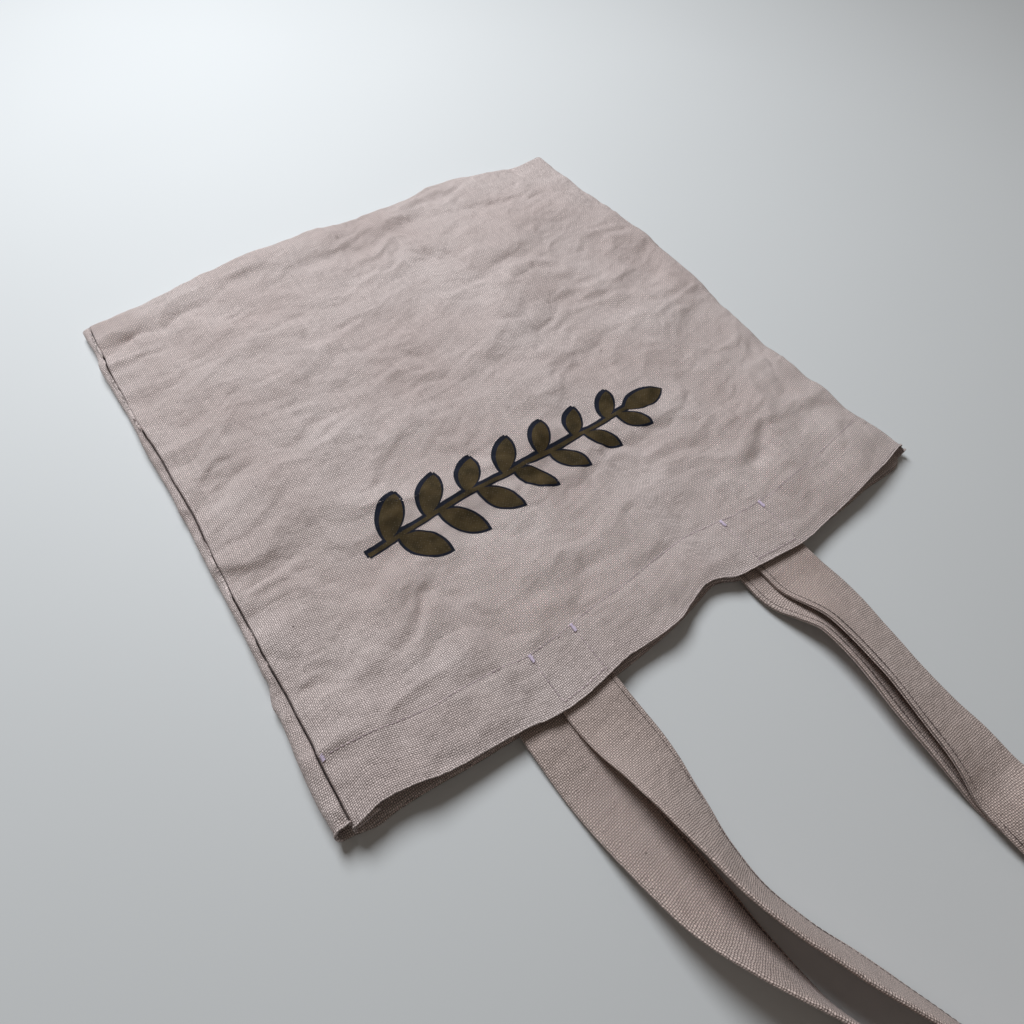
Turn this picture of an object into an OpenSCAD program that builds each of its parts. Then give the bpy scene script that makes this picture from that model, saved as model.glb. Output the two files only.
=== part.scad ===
// Canvas tote bag lying flat on its back panel, with two strap handles
// sewn inside the mouth. Units are millimetres.
// The origin is the middle of the face that the bag rests on.
// +Z is up, -Y is the mouth side where the handles leave, +Y is the bottom.

/* [Bag body] */
// Width of the bag lying flat
body_w = 350; // [330:1:380]
// Length of each side seam, from the mouth to the bottom
side_l = 342; // [320:1:380]
// How far the mouth edge bows out at its middle
mouth_bow = 10; // [6:0.5:12]
// How far the bottom edge bows out at its middle
bottom_bow = 9; // [6:0.5:12]
// Height of the flat bag
body_h = 9.5; // [9.3:0.1:11]
// Thickness of one layer of canvas
cloth_t = 0.7; // [0.6:0.05:0.75]

/* [Hems and seams] */
// Depth of the hem, from the mouth edge to its stitching
hem_d = 32; // [28:1:36]
// Width of the turned-in seam allowances
seam_w = 12; // [8:1:14]
// Distance of the left side seam from the left edge, on the front
left_seam_in = 5; // [4.9:0.1:6]
// Width of a row of thread
thread_w = 0.8; // [0.5:0.1:1.2]
// Height of a row of thread above the cloth
thread_h = 0.3; // [0.2:0.05:0.3]

/* [Handles] */
// Width of a strap
strap_w = 30; // [28:1:31]
// Thickness of a strap
strap_t = 2.2; // [2:0.1:2.3]
// Distance from the mouth edge to the line where a handle folds
fold_out = 10; // [9:0.5:12]
// How far a strap's sewn-in end reaches behind the mouth edge
strap_in = 28; // [24:1:30]

/* [Print] */
// Length of the printed sprig
print_l = 194; // [150:1:200]
// Distance of the sprig from the mouth corners
print_y = 107; // [90:1:140]
// Length of one leaf
leaf_l = 28; // [20:1:30]
// Width of one leaf
leaf_w = 12; // [7:0.5:13]

/* [Hidden] */
$fn = 96;

canvas = [0.72, 0.64, 0.62];
canvas_shade = [0.66, 0.58, 0.56];
tonal_thread = [0.78, 0.70, 0.68];
lilac_thread = [0.66, 0.56, 0.78];
navy = [0.10, 0.12, 0.20];
olive = [0.33, 0.26, 0.14];

mouth_y = -side_l / 2;
bottom_y = side_l / 2;
roll_r = body_h / 2;
gap = 0.3;          // room between pieces that move apart
big = 600;          // larger than the bag, for cutting
past = 20;          // how far a cutting shape reaches past what it cuts
hem_t = 2 * cloth_t;
seam_t = 2 * cloth_t;
hem_margin = 5.5;   // from a side edge to the end of a hem band
side_seam_stop = 19;  // from the bottom edge to the end of a side seam

back_hem_z = cloth_t;
front_hem_z = body_h - cloth_t - hem_t;
back_strap_z = back_hem_z + hem_t;
front_strap_z = front_hem_z - strap_t;
rest_gap = 0.3;     // what keeps a strap's lowest edge off the surface below

// Middle of each strap end across the bag
front_left_x = -59;
front_right_x = 64.5;
back_left_x = -80;
back_right_x = 55;

// ---------- outlines ----------

function bow_radius(bow) = (pow(body_w / 2, 2) + bow * bow) / (2 * bow);
function mouth_edge_y(x) =
    let (r = bow_radius(mouth_bow))
    mouth_y - mouth_bow + r - sqrt(r * r - x * x);
fold_y = mouth_edge_y(front_left_x) - fold_out;

// The bag seen from above, drawn in by an inset at each end
module plan(mouth_inset = 0, bottom_inset = 0, side_inset = 0) {
    width = body_w - 2 * side_inset;
    mouth_r = bow_radius(mouth_bow);
    bottom_r = bow_radius(bottom_bow);
    intersection() {
        square([width, big], center = true);
        translate([0, mouth_y - mouth_bow + mouth_r])
            circle(r = mouth_r - mouth_inset, $fn = 720);
        translate([0, bottom_y + bottom_bow - bottom_r])
            circle(r = bottom_r - bottom_inset, $fn = 720);
    }
}

module between(low, high) {
    translate([0, 0, low]) linear_extrude(high - low) children();
}

// A flat tube with round sides, drawn in the XZ plane and run along Y
module along_y() {
    translate([0, big / 2, 0]) rotate([90, 0, 0]) linear_extrude(big) children();
}

module tube_section(wall) {
    side_x = body_w / 2 - roll_r;
    r = roll_r - wall;
    translate([-side_x, roll_r - r]) square([2 * side_x, 2 * r]);
    for (side = [-1, 1])
        translate([side * side_x, roll_r]) circle(r = r);
}

module bag_shell() {
    difference() {
        intersection() {
            between(-past, body_h + past) plan();
            along_y() tube_section(0);
        }
        intersection() {
            between(-past, body_h + past) plan(-past, cloth_t);
            along_y() tube_section(cloth_t);
        }
    }
}

// Everything that belongs to the front panel, in the XZ plane
module front_region() {
    seam_x = -body_w / 2 + left_seam_in + gap / 2;
    translate([seam_x, roll_r + gap / 2]) square([big, big]);
}

module back_region() {
    seam_x = -body_w / 2 + left_seam_in - gap / 2;
    translate([-big, -big + roll_r - gap / 2]) square([2 * big, big]);
    translate([seam_x - big, -1]) square([big, big]);
}

// ---------- panels, hems and seams ----------

module back_panel() {
    color(canvas_shade)
        intersection() {
            bag_shell();
            along_y() back_region();
        }
}

module front_panel() {
    color(canvas)
        intersection() {
            bag_shell();
            along_y() front_region();
        }
}

module hem_outline(left_x, right_x) {
    intersection() {
        difference() {
            plan();
            plan(hem_d);
        }
        translate([left_x, -big]) square([right_x - left_x, big]);
    }
}

module back_hem() {
    side_x = body_w / 2 - hem_margin;
    color(canvas_shade)
        between(back_hem_z, back_hem_z + hem_t) hem_outline(-side_x, side_x);
}

module front_hem() {
    left_x = -body_w / 2 + left_seam_in + seam_w;
    right_x = body_w / 2 - hem_margin;
    color(canvas)
        between(front_hem_z, front_hem_z + hem_t) hem_outline(left_x, right_x);
}

// Turned-in allowances under the line where the panels meet on the front
left_allowance_z = body_h - cloth_t - gap - seam_t;
seam_lap = 1;       // how far the left allowance reaches out past the seam line

module left_side_seam() {
    start_x = -body_w / 2 + left_seam_in - seam_lap;
    color(canvas_shade)
        intersection() {
            between(0, body_h) plan(gap, side_seam_stop);
            along_y() translate([start_x, left_allowance_z]) square([seam_w, seam_t]);
        }
}

module right_side_seam() {
    wall_x = body_w / 2 - cloth_t - gap;
    color(canvas_shade)
        intersection() {
            between(0, body_h) plan(gap, side_seam_stop);
            along_y() translate([wall_x - seam_w, roll_r - seam_t / 2]) square([seam_w, seam_t]);
        }
}

module bottom_seam() {
    color(canvas_shade)
        between(roll_r - seam_t / 2, roll_r + seam_t / 2)
            difference() {
                plan(0, cloth_t + gap, hem_margin);
                plan(-gap, cloth_t + gap + seam_w);
            }
}

// ---------- strap ends ----------

module strap_end(x, z) {
    edge_y = mouth_edge_y(x);
    start_y = fold_y + gap;
    translate([x - strap_w / 2, start_y, z])
        cube([strap_w, edge_y + strap_in - start_y, strap_t]);
}

module back_handle_left_end() {
    color(canvas) strap_end(back_left_x, back_strap_z);
}

module back_handle_right_end() {
    color(canvas) strap_end(back_right_x, back_strap_z);
}

module front_handle_left_end() {
    color(canvas) strap_end(front_left_x, front_strap_z);
}

module front_handle_right_end() {
    color(canvas) strap_end(front_right_x, front_strap_z);
}

// ---------- handles ----------
// A route's stations are [x, distance out from the fold line, roll, lift].
// Roll turns the strap's outer edge up, in degrees. Lift is the height
// above lying on the surface below.

FRONT_ROUTE = [
    [front_left_x, 0, 0, front_strap_z - rest_gap],
    [-58, 14, 9, 2.6],
    [-57, 28, 23, 1.0],
    [-57, 46, 38, 0.2],
    [-57.6, 66, 53, 0],
    [-56.8, 87, 61, 0],
    [-51.5, 107, 66, 0],
    [-41.5, 132, 67, 0],
    [-30, 160, 72, 0],
    [-17, 192, 82, 0],
    [-3, 218, 88, 0],
    [14, 233, 90, 0],
    [35, 226, 88, 0],
    [48, 201, 84, 0],
    [53, 170, 72, 0.5],
    [57, 141, 30, 3.6],
    [60, 112, -9, 4.8],
    [62, 82, -23, 4],
    [64.5, 56, -28, 3.4],
    [67, 30, -22, 3.5],
    [66, 16, -12, 4.2],
    [64.5, 5, -1, 4.6],
    [front_right_x, 0, 0, front_strap_z - rest_gap]];
BACK_ROUTE = [
    [back_left_x, 0, 0, back_strap_z - rest_gap],
    [-79.5, 26, 2, 0],
    [-77, 56, 14, 0],
    [-74, 82, 30, 0],
    [-69, 106, 55, 0],
    [-60, 135, 80, 0],
    [-48.5, 169, 88, 0],
    [-36.5, 203, 86, 0],
    [-15.5, 234, 88, 0],
    [14, 247, 90, 0],
    [42, 234, 86, 0],
    [55.5, 203, 78, 0],
    [60, 172, 54, 0],
    [62, 141, 14, 0],
    [59, 112, -7, 0],
    [58.5, 82, -19, 0],
    [61.5, 56, -22, 0],
    [62.5, 30, -20, 0],
    [59, 16, -11, 0.8],
    [55.3, 5, -1, 1.6],
    [back_right_x, 0, 0, back_strap_z - rest_gap]];
steps_between = 4;   // rings from one station to the next

function station(p, i) =
    i < 0 ? 2 * p[0] - p[1] :
    i >= len(p) ? 2 * p[len(p) - 1] - p[len(p) - 2] : p[i];

// Catmull-Rom curve from station i to the next, with u from 0 to 1
function curve(p, i, u) =
    let (a = station(p, i - 1), b = station(p, i), c = station(p, i + 1), d = station(p, i + 2))
    0.5 * (2 * b + (c - a) * u + (2 * a - 5 * b + 4 * c - d) * u * u
        + (3 * b - a - 3 * c + d) * u * u * u);

// All stations of the smooth route
function route(p) = [
    for (i = [0 : len(p) - 2])
        for (k = [0 : steps_between - 1])
            curve(p, i, k / steps_between),
    p[len(p) - 1]];

// Centre of the strap at one station of the route
function centre(s) = [
    s[0], fold_y - s[1],
    rest_gap + abs(sin(s[2])) * strap_w / 2 + cos(s[2]) * strap_t / 2 + s[3]];

function unit(v) = v / norm(v);

// Travel direction in plan; both ends leave the mouth square to it
function heading(r, i) =
    i == 0 ? [0, -1, 0] :
    i == len(r) - 1 ? [0, 1, 0] :
    let (d = centre(r[i + 1]) - centre(r[i - 1]))
    unit([d[0], d[1], 0]);

// One ring: the outline's points [across, proud] placed in the strap's frame
function ring(r, i, outline) =
    let (
        h = heading(r, i),
        out = [h[1], -h[0], 0],
        roll = r[i][2],
        across = cos(roll) * out + [0, 0, sin(roll)],
        proud = -sin(roll) * out + [0, 0, cos(roll)])
    [for (q = outline) centre(r[i]) + q[0] * across + q[1] * proud];

// A closed solid through the rings of a route, less some rings at each end
module ribbon(stations, outline, left_out = 0) {
    r = route(stations);
    n = len(outline);
    last = len(r) - 1 - 2 * left_out;
    points = [for (i = [0 : last]) each ring(r, i + left_out, outline)];
    sides = [
        for (i = [0 : last - 1])
            for (k = [0 : n - 1])
                let (a = i * n + k, b = i * n + (k + 1) % n)
                each [[b, a, b + n], [b + n, a, a + n]]];
    start_cap = [[for (k = [0 : n - 1]) k]];
    end_cap = [[for (k = [0 : n - 1]) last * n + n - 1 - k]];
    polyhedron(points, concat(start_cap, sides, end_cap), convexity = 8);
}

// A thread row's two edges, across a strap from its centre
topstitch_in = 3;
row_start = -strap_w / 2 + topstitch_in - thread_w / 2;
row_end = row_start + thread_w;

groove_d = 0.2;         // how deep the thread pulls into the cloth

// Half of a strap's outline: its upper face with a groove for the thread
function upper_outline(w, t) =
    let (corner = t * 0.6)
    [[-w, t - corner], [-w + corner, t],
     [row_start - groove_d, t], [row_start, t - groove_d],
     [row_end, t - groove_d], [row_end + groove_d, t],
     [w - corner, t], [w, t - corner]];

module strap(stations) {
    upper = upper_outline(strap_w / 2, strap_t / 2);
    lower = [for (i = [len(upper) - 1 : -1 : 0]) [upper[i][0], -upper[i][1]]];
    ribbon(stations, concat(upper, lower));
}

// Thread rows on both faces of a strap, near its inner edge. They stop one
// ring short of each end to clear the sewn-in parts when the handle swings.
module topstitching(stations) {
    hair = 0.05;    // keeps thread and strap from sharing any volume
    groove_z = strap_t / 2 - groove_d + hair;
    for (face = [-1, 1]) {
        low = face > 0 ? groove_z : -groove_z - thread_h;
        high = low + thread_h;
        outline = [[row_start, low], [row_start, high], [row_end, high], [row_end, low]];
        ribbon(stations, outline, left_out = 1);
    }
}

module front_handle() {
    color(canvas) strap(FRONT_ROUTE);
}

module back_handle() {
    color(canvas_shade) strap(BACK_ROUTE);
}

module front_handle_stitching() {
    color(tonal_thread) topstitching(FRONT_ROUTE);
}

module back_handle_stitching() {
    color(tonal_thread) topstitching(BACK_ROUTE);
}

// ---------- thread rows on the bag ----------

hem_row_in = 1.5;       // from the hem band's inner edge
hem_row_margin = 10;    // from a side edge to the end of the row
module hem_row(low) {
    side_x = body_w / 2 - hem_row_margin;
    row_d = hem_d - hem_row_in - thread_w / 2;
    between(low, low + thread_h)
        intersection() {
            difference() {
                plan(row_d);
                plan(row_d + thread_w);
            }
            translate([-side_x, -big]) square([2 * side_x, big]);
        }
}

module front_hem_stitching() {
    color(tonal_thread) hem_row(body_h);
}

// On the hem's inside, beyond the sewn-in ends of the strap
module back_hem_stitching() {
    color(tonal_thread) hem_row(back_hem_z + hem_t);
}

// Two columns and a row along the mouth edge hold a strap's end
box_w = 25;
box_edge = 5;           // from the mouth edge to the row
box_margin = 2;         // from the columns' tops to the strap's end
module box_row(x, low) {
    edge_y = mouth_edge_y(x) + box_edge;
    box_l = strap_in - box_edge - box_margin;
    translate([x - box_w / 2, edge_y, low]) {
        for (side = [0, 1])
            translate([side * box_w - thread_w / 2, thread_w, 0])
                cube([thread_w, box_l - thread_w, thread_h]);
        translate([-thread_w / 2, 0, 0]) cube([box_w + thread_w, thread_w, thread_h]);
    }
}

module front_box_stitching_left() {
    color(tonal_thread) box_row(front_left_x, body_h);
}

module front_box_stitching_right() {
    color(tonal_thread) box_row(front_right_x, body_h);
}

module back_box_stitching_left() {
    color(tonal_thread) box_row(back_left_x, back_strap_z + strap_t);
}

module back_box_stitching_right() {
    color(tonal_thread) box_row(back_right_x, back_strap_z + strap_t);
}

// Short dense bars at the tops of the front boxes
backtack_l = 2;
module front_backtacks() {
    color(lilac_thread)
        for (x = [front_left_x, front_right_x], side = [-1, 1])
            translate([
                x + side * box_w / 2 - thread_w,
                mouth_edge_y(x) + strap_in - box_margin + gap / 2, body_h])
                cube([2 * thread_w, backtack_l, thread_h]);
}

// A few dense stitches beside the left side seam, in line with the hem's row
module seam_backtack() {
    tack_l = 7;
    beside_seam = 1.5;
    below_row = 6;
    color(lilac_thread)
        translate([
            -body_w / 2 + left_seam_in + beside_seam,
            mouth_y + hem_d - below_row, body_h])
            cube([thread_w, tack_l, thread_h]);
}

// Rows of thread that run the length of the inside seams
seam_row_in = 3;        // from a panel's inner face to the row
module side_seam_row(x, low) {
    color(tonal_thread)
        intersection() {
            between(0, body_h) plan(seam_row_in, side_seam_stop + seam_row_in);
            along_y() translate([x, low]) square([thread_w, thread_h]);
        }
}

module left_seam_stitching() {
    side_seam_row(-body_w / 2 + left_seam_in + thread_w, left_allowance_z - thread_h);
}

module right_seam_stitching() {
    side_seam_row(body_w / 2 - cloth_t - gap - seam_row_in, roll_r - seam_t / 2 - thread_h);
}

module bottom_seam_stitching() {
    inset = cloth_t + gap + seam_row_in;
    low = roll_r - seam_t / 2 - thread_h;
    color(tonal_thread)
        between(low, low + thread_h)
            difference() {
                plan(0, inset, 2 * hem_margin);
                plan(-gap, inset + thread_w);
            }
}

// ---------- print ----------
// A leafy sprig: a stem with pairs of leaves that shrink towards its tip

leaf_pairs = 7;
leaf_turn = 52;         // degrees from the stem
leaf_shrink = 0.05;     // how much smaller each pair is than the first
leaf_stagger = 6;       // between the two leaves of a pair, along the stem
first_pair = 0.6;       // place of the first pair, as a share of the pairs' spacing
stem_w = 2.4;
film_t = 0.15;
outline_w = 1;
shadow = [-1.2, 1.2];   // the dark layer shows on this side
print_x = -8;

// A leaf from the origin along +X, bounded by two equal arcs
module leaf(l, w) {
    r = (l * l + w * w) / (4 * w);
    translate([l / 2, 0])
        intersection() {
            translate([0, r - w / 2]) circle(r = r);
            translate([0, w / 2 - r]) circle(r = r);
        }
}

module sprig(grow) {
    stem_l = print_l - leaf_l;
    into_tip = 3 * stem_w;      // the stem reaches into the leaf at its tip
    translate([-print_l / 2, -stem_w / 2 - grow])
        square([stem_l + into_tip, stem_w + 2 * grow]);
    for (i = [0 : leaf_pairs - 1], side = [-1, 1]) {
        size = 1 - leaf_shrink * i;
        along = -print_l / 2 + stem_l * (i + first_pair) / leaf_pairs - side * leaf_stagger / 2;
        translate([along, side * stem_w / 4])
            rotate(side * leaf_turn)
                leaf(leaf_l * size + 2 * grow, leaf_w * size + 2 * grow);
    }
    translate([print_l / 2 - leaf_l, 0])
        leaf(leaf_l + grow, leaf_w + 2 * grow);
}

module place_print(low) {
    translate([print_x, mouth_y + print_y, low]) linear_extrude(film_t) children();
}

module print_outline() {
    color(navy)
        place_print(body_h) {
            sprig(outline_w);
            translate(shadow) sprig(outline_w);
        }
}

module print_fill() {
    color(olive) place_print(body_h + film_t) sprig(0);
}

back_panel();
back_hem();
left_side_seam();
right_side_seam();
bottom_seam();
back_handle_left_end();
back_handle_right_end();
front_panel();
front_hem();
front_handle_left_end();
front_handle_right_end();
print_outline();
print_fill();
front_handle();
back_handle();
front_hem_stitching();
back_hem_stitching();
front_box_stitching_left();
front_box_stitching_right();
back_box_stitching_left();
back_box_stitching_right();
front_backtacks();
seam_backtack();
left_seam_stitching();
right_seam_stitching();
bottom_seam_stitching();
front_handle_stitching();
back_handle_stitching();
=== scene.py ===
"""Looks of a canvas tote bag that lies flat on a table, its two strap handles trailing from the mouth.

Shapes are worked out in millimetres in the CAD frame and turned into metres when a mesh is made.
"""
import math

import bpy
import numpy as np
from mathutils import Matrix, Vector
from mathutils.bvhtree import BVHTree


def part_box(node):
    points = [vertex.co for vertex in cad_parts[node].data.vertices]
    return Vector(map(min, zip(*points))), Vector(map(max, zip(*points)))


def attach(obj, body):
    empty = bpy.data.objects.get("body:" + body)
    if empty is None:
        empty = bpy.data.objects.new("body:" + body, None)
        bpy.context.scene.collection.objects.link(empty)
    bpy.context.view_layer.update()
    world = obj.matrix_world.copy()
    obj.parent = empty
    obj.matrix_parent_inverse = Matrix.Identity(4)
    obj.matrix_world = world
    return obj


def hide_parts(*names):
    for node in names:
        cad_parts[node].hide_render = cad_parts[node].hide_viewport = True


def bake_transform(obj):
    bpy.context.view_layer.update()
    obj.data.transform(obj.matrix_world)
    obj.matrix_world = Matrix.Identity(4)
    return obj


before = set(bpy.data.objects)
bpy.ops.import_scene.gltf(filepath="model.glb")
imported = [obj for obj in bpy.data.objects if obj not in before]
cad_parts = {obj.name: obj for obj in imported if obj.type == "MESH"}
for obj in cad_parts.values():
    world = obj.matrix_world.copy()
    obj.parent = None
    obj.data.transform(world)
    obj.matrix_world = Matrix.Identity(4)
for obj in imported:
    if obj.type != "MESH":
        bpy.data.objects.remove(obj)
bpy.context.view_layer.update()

MM = 0.001
SPACING = 1.5  # distance between the cloth's grid lines
CLOTH_T = 0.7  # one layer of canvas


# ---- places from the CAD model

def box_mm(node):
    """Lowest and highest corner of a CAD node, in millimetres."""
    low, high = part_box(node)
    return np.array(low) / MM, np.array(high) / MM


(_, MOUTH_MIDDLE_Y, _), (HALF_W, BOTTOM_MIDDLE_Y, _) = box_mm("back_panel")
MOUTH_CORNER_Y = MOUTH_MIDDLE_Y + 10
BOTTOM_CORNER_Y = BOTTOM_MIDDLE_Y - 9
FOLD_Y = box_mm("front_handle")[1][1]  # where the handles fold up from the bag
HEM_DEPTH = 32
REST_GAP = 0.3  # what keeps a strap's lowest edge off the table


# ---- smooth curves and noise

def smooth_line(stations, wobble=0.0, seed=0):
    """A smooth function through (position, value) stations, plus small irregular waves."""
    at, value = np.array(stations, float).T
    slope = np.gradient(value, at)

    def line(x):
        x = np.clip(x, at[0], at[-1])
        i = np.clip(np.searchsorted(at, x) - 1, 0, len(at) - 2)
        span = at[i + 1] - at[i]
        u = (x - at[i]) / span
        waves = wobble * (noise(x, 0 * x, 15, seed) + 0.5 * noise(x, 0 * x, 6, seed + 1))
        return (value[i] * (1 + 2 * u) * (1 - u) ** 2 + slope[i] * span * u * (1 - u) ** 2
                + value[i + 1] * u * u * (3 - 2 * u) + slope[i + 1] * span * u * u * (u - 1) + waves)

    return line


def smooth_step(x, low, high):
    t = np.clip((x - low) / (high - low), 0, 1)
    return t * t * (3 - 2 * t)


def bell(x, middle, width):
    return np.exp(-((x - middle) / width) ** 2)


def noise(x, y, cell, seed):
    """Smooth noise of about -1 to 1 that changes over the given cell size."""
    rng = np.random.default_rng(seed)
    count = 64
    grid = rng.uniform(-1, 1, (count, count))
    u = np.asarray(x, float) / cell + count / 2
    v = np.asarray(y, float) / cell + count / 2
    i, j = np.floor(u).astype(int), np.floor(v).astype(int)
    a, b = u - i, v - j
    a, b = a * a * (3 - 2 * a), b * b * (3 - 2 * b)
    i, j = i % (count - 1), j % (count - 1)
    low = grid[i, j] * (1 - a) + grid[i + 1, j] * a
    high = grid[i, j + 1] * (1 - a) + grid[i + 1, j + 1] * a
    return low * (1 - b) + high * b


# ---- the bag's outline

left_edge = smooth_line([
    (-175, -177.5), (-167, -178.2), (-155, -178.8), (-144, -178.5), (-132, -177.8), (-120, -176.7),
    (-101, -174.6), (-84, -173.2), (-60, -172.8), (-17, -172.4), (15, -171.9), (60, -172.3),
    (90, -171.6), (120, -173), (155, -171.5), (177, -172)], 0.35, 101)
left_seam_x = smooth_line([
    (-175, -170.8), (-160, -170.4), (-146, -170.3), (-133, -169.5), (-93, -169.4), (-60, -169.2),
    (-18, -168.3), (5, -167), (32, -167.4), (56, -167.6), (76, -169), (110, -169.3), (150, -168),
    (177, -167)], 0.2, 103)
right_edge = smooth_line([
    (-172, 175.5), (-138, 172), (-100, 170), (-49, 171.5), (4, 176.5), (55, 177), (100, 176.5),
    (172, 175)], 0.7, 105)
bottom_edge = smooth_line([
    (-177, 170.5), (-144, 172.5), (-100, 177.5), (-70, 178.5), (-21, 180), (11, 177.5),
    (56, 178.5), (93, 181), (136, 171.5), (155, 169.5), (177, 171)], 0.7, 107)
front_mouth = smooth_line([
    (-177, -171.5), (-165, -170.7), (-158, -169.3), (-150, -169.8), (-143, -171.2), (-134, -173.7),
    (-112, -176.5), (-101, -177.4), (-89, -179), (-77, -181.6), (-61, -182), (-46, -180.3), (-35, -178.8),
    (-22, -179.2), (-8, -179.4), (0, -178.4), (8, -175.6), (15, -173.6), (22, -172), (29, -173.4),
    (37, -177.8), (45, -179.4), (60, -181.6), (78, -183.4), (98, -181.6), (121, -179.4), (140, -176.8),
    (155, -174.8), (168, -172.2), (177, -171)])
back_mouth = smooth_line([
    (-177, -171), (-172, -172.4), (-166, -173.8), (-158, -173.4), (-147, -173.8), (-136, -174.7),
    (-125, -176), (-101, -177.8), (-60, -181), (-20, -180), (0, -178), (12, -175.8), (18, -174.6),
    (24, -173.4), (31, -174.2), (37, -177.6), (44, -179.8), (60, -181), (105, -180.3), (121, -180),
    (140, -178.6), (155, -178.9), (166, -178), (173, -173.5), (177, -171)])
hem_row_y = smooth_line([
    (-177, -141), (-167, -140.4), (-152, -142), (-136, -144.9), (-118, -148), (-100, -148.8),
    (-84, -150.8), (-75, -152.6), (-62, -152.8), (-49, -151.8), (-37, -150.5), (-10, -149.6),
    (15, -146.5), (33, -146.5), (43, -148.2), (50, -149.7), (58, -151.6), (68, -152.8), (79, -153.2),
    (110, -151.5), (140, -148), (177, -143)])


# ---- wrinkles

# Folds placed one by one: x, y, direction in degrees, length, width, height and any bow
PLACED_FOLDS = [
    (-118, 152, 4, 50, 4.5, -1.5, 0.0008), (-100, 164, 2, 60, 7, 1.3),
    (-40, 150, 8, 42, 5, -0.9), (30, 158, -6, 40, 6, 1.0),
    (148, 160, 62, 12, 3.2, -1.8), (140, 148, 50, 22, 5, 1.1),
    (-152, 30, 14, 22, 5, 1.4), (-150, 12, 22, 18, 3.5, -1.2),
    (-153, -30, 12, 20, 5, 1.2), (-150, -46, 25, 16, 3, -1.1),
    (-140, -96, 24, 30, 5, -1.0, 0.003), (-138, -112, 18, 34, 6, 1.0),
    (-90, -104, 12, 36, 5, -0.8), (-20, -120, 6, 50, 9, 1.0),
    (10, -108, 20, 42, 6, -1.1), (45, -128, -14, 28, 7, 0.9),
    (112, -60, 48, 40, 8, -0.9), (128, -110, 62, 30, 7, 1.3),
    (98, -132, 36, 32, 6, -1.0), (60, 60, 40, 60, 9, 0.9),
    (96, 40, 30, 46, 6, -0.8), (20, 20, 16, 60, 7, 0.7),
    (-60, 60, 10, 70, 7, -0.7, 0.0006), (-96, 96, 6, 60, 6, 0.8),
    (110, 110, 70, 34, 7, 0.8),
]


CREST_ROUND, VALLEY_ROUND = 0.05, 0.004  # how rounded folds' crests and billows' valleys are
SMALL_FOLDS = 200


def fold(x, y, cx, cy, direction, length, width, height, bow=0):
    """One crease: a ridge or valley with a fairly sharp crest that fades along its length."""
    c, s = math.cos(math.radians(direction)), math.sin(math.radians(direction))
    along = (x - cx) * c + (y - cy) * s
    across = (y - cy) * c - (x - cx) * s - bow * along ** 2
    crest = np.exp(-np.sqrt((across / width) ** 2 + CREST_ROUND) + math.sqrt(CREST_ROUND))
    return height * crest * bell(along, 0, length)


def small_folds(seed):
    """Places and sizes of small random creases, most of which lie across the bag."""
    rng = np.random.default_rng(seed)
    for _ in range(SMALL_FOLDS):
        place = rng.uniform((-176, -182), (176, 180))
        turn = rng.normal(10, 18) if rng.random() < 0.7 else rng.uniform(0, 180)
        length, width = rng.uniform(9, 38), rng.uniform(1.5, 3.5)
        yield *place, turn, length, width, rng.normal(0, 0.55), rng.normal(0, 0.003)


def billows(x, y, cell, seed):
    """Soft puffs from 0 to about 1 with sharp valleys between them."""
    return np.sqrt(noise(x, y, cell, seed) ** 2 + VALLEY_ROUND)


def wrinkles(x, y):
    """Height of the front panel's wrinkles, in millimetres."""
    x, y = np.asarray(x, float), np.asarray(y, float)
    warp_x = x + 8 * noise(x, y, 34, 21) + 3.5 * noise(x, y, 12, 23)
    warp_y = y + 8 * noise(x, y, 30, 22) + 3.5 * noise(x, y, 13, 24)
    turned_x, turned_y = 0.62 * (warp_x * 0.98 + warp_y * 0.17), warp_y * 0.98 - warp_x * 0.17
    height = 2.3 * noise(turned_x, turned_y, 44, 1) + 1.0 * noise(turned_x, turned_y, 19, 2)
    height = height + 2.8 * billows(turned_x, turned_y, 26, 3) - 2.1 * billows(turned_x, warp_y, 21, 4)
    height = height + 1.1 * billows(turned_x, turned_y, 12, 5) - 0.9 * billows(turned_y, turned_x, 10, 6)
    height = height + 0.45 * billows(warp_x, turned_y, 5.5, 7) - 0.2
    for placed in PLACED_FOLDS:
        height = height + 1.6 * fold(warp_x, warp_y, *placed)
    for small in small_folds(11):
        height = height + fold(warp_x, warp_y, *small)
    return height


def puckers(x, y):
    """Gathers along the left seam and along the hem's row of stitches."""
    from_seam = np.maximum(x - left_seam_x(y), 0)
    from_row = y - hem_row_y(x)
    gathers = np.exp(-from_seam / 13) * (1 - 0.75 * np.exp(-from_seam / 3))
    return (1.2 * noise(0.3 * x, y, 8, 12) * gathers
            + 0.6 * noise(x, 0.4 * y, 7.5, 13) * bell(from_row, 0, 10)
            - 0.2 * bell(from_row, 0, 2.2))


TOP_Z = 8.7  # usual height of the front panel's face
LOWEST_Z = 5.4  # where its hollows start to sink more slowly
OVER_STRAPS_Z = 9.6  # height where it lies on the straps' sewn-in ends
FRONT_ENDS_X = (-59, 64.5)
BACK_ENDS_X = (-80, 55)
ENDS_REACH = 28  # how far the ends reach in from the mouth edge
ENDS_SIDE = 8  # and how far the cloth's rise over them spreads to their sides
STRAP_W = 30
STRAP_T = 2.2

# Rises and dips of the front panel near the mouth: x, width, height
MOUTH_LIFTS = [(-145, 30, 2.6), (150, 22, 2.6), (20, 15, -2.6), (-8, 12, 0.8)]


def held_up(height):
    """Height that sinks only a quarter as fast in the first 4 mm under the lowest level."""
    below = np.clip(LOWEST_Z - height, 0, 4)
    return np.maximum(height, LOWEST_Z) - 0.25 * below


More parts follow.
